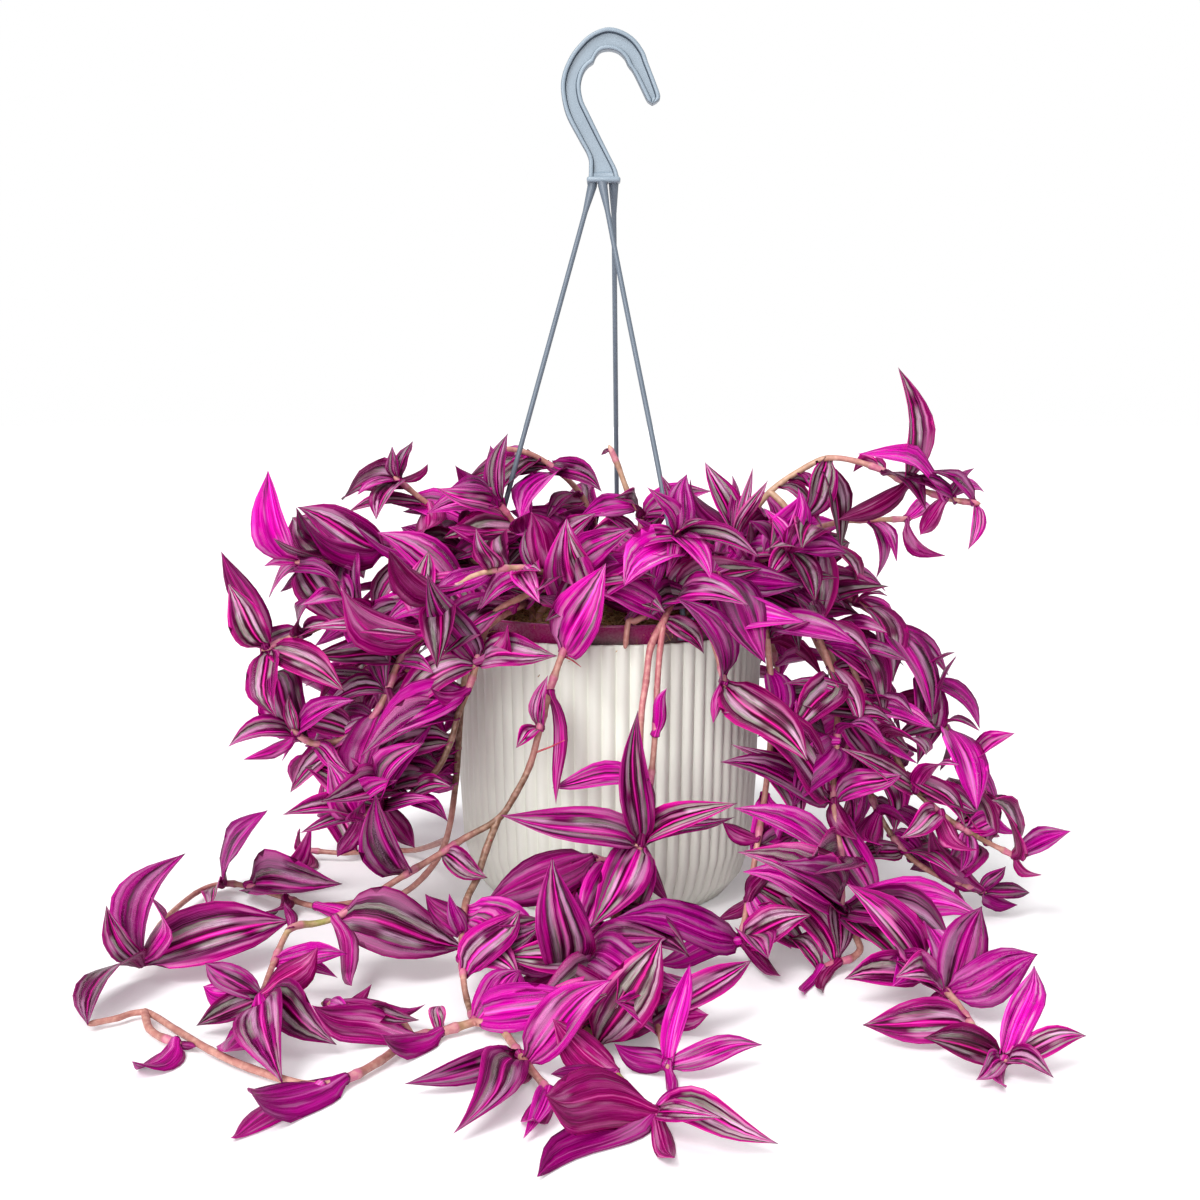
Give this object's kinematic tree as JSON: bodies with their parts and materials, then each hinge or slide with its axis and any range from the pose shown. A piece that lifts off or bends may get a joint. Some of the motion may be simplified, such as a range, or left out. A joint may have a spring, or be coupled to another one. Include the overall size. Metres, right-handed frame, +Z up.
{
  "type": "potted trailing plant",
  "caption": "Purple-striped trailing tradescantia in a ribbed off-white pot, with a plum inner pot, a rod hanger and a hook, its long stems lying along the surface.",
  "frame": {"origin": "middle of the underside of the pot's foot", "axes": "+Z up, the pictured side towards -Y, +X to the right seen from there"},
  "size_m": [0.4104, 0.4765, 0.4129],
  "materials": {
    "planter_plastic": "smooth satin off-white plastic",
    "nursery_pot_plastic": "satin plum plastic, mottled grey",
    "coir": "rough brown coir fibre",
    "hanger_plastic": "satin blue-grey plastic",
    "foliage": "glossy magenta leaves with silver stripes on fleshy pink stems"
  },
  "bodies": {
    "root": {"hanger_hook": "hanger_plastic", "hanger_rod_left": "hanger_plastic", "hanger_rod_rear": "hanger_plastic", "hanger_rod_right": "hanger_plastic", "inner_pot": "nursery_pot_plastic", "planter": "planter_plastic", "soil": "coir", "vine_arch_right": "foliage", "vine_arch_right_low": "foliage", "vine_back_1": "foliage", "vine_back_2": "foliage", "vine_back_3": "foliage", "vine_back_4": "foliage", "vine_back_5": "foliage", "vine_back_6": "foliage", "vine_back_7": "foliage", "vine_brown_bud": "foliage", "vine_centre_curl": "foliage", "vine_crimson_fan": "foliage", "vine_crown_1": "foliage", "vine_crown_2": "foliage", "vine_crown_3": "foliage", "vine_crown_4": "foliage", "vine_crown_5": "foliage", "vine_far_left": "foliage", "vine_floor_left": "foliage", "vine_front": "foliage", "vine_front_right": "foliage", "vine_left_crown": "foliage", "vine_left_drop": "foliage", "vine_left_high": "foliage", "vine_left_low": "foliage", "vine_left_mid": "foliage", "vine_right_drop": "foliage", "vine_right_high": "foliage", "vine_right_low": "foliage", "vine_right_outer": "foliage", "vine_right_shoulder": "foliage", "vine_rim_right": "foliage", "vine_star_top": "foliage", "vine_tan_stem": "foliage", "vine_thin_arch": "foliage", "vine_upright_left": "foliage"}
  },
  "joints": []
}
